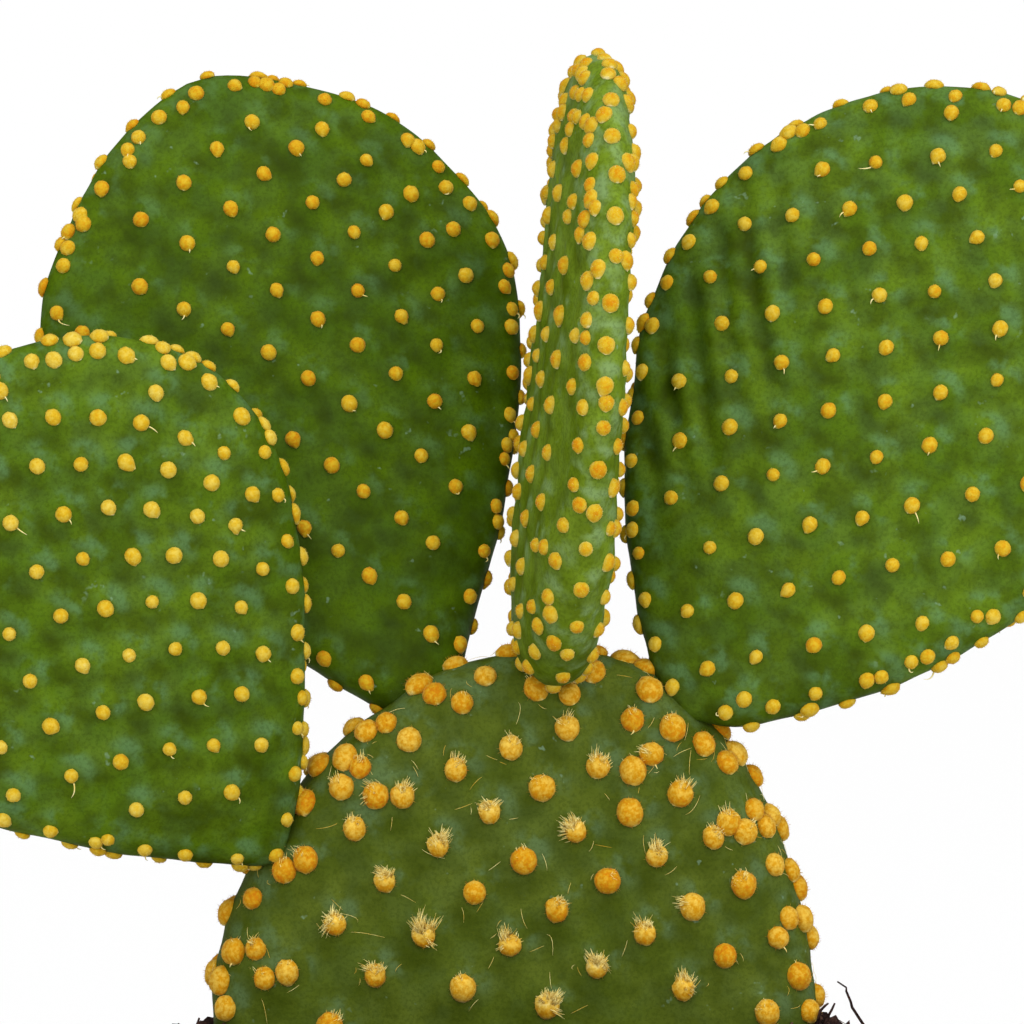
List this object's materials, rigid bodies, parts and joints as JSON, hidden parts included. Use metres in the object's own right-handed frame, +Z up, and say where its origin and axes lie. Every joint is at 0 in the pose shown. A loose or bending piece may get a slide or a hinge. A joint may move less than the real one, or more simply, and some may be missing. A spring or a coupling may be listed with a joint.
{
  "type": "potted paddle cactus",
  "caption": "Bunny-ear paddle cactus of flat oval pads set with tufts of short golden bristles, standing in soil in a plain round clay pot.",
  "frame": {"origin": "centre of the pot's flat base, where it rests", "axes": "+Z up through the pot's middle; -Y to the front, the side that the broad pads face; +X to the right seen from there"},
  "size_m": [0.1821, 0.132, 0.2481],
  "materials": {
    "clay": "matte",
    "soil": "matte",
    "old_pad": "matte",
    "young_pad": "satin"
  },
  "bodies": {
    "root": {"pot": "clay", "soil": "soil", "pad_base": "old_pad", "pad_left_front": "young_pad", "pad_left_back": "young_pad", "pad_middle": "young_pad", "pad_right": "young_pad"}
  },
  "joints": []
}
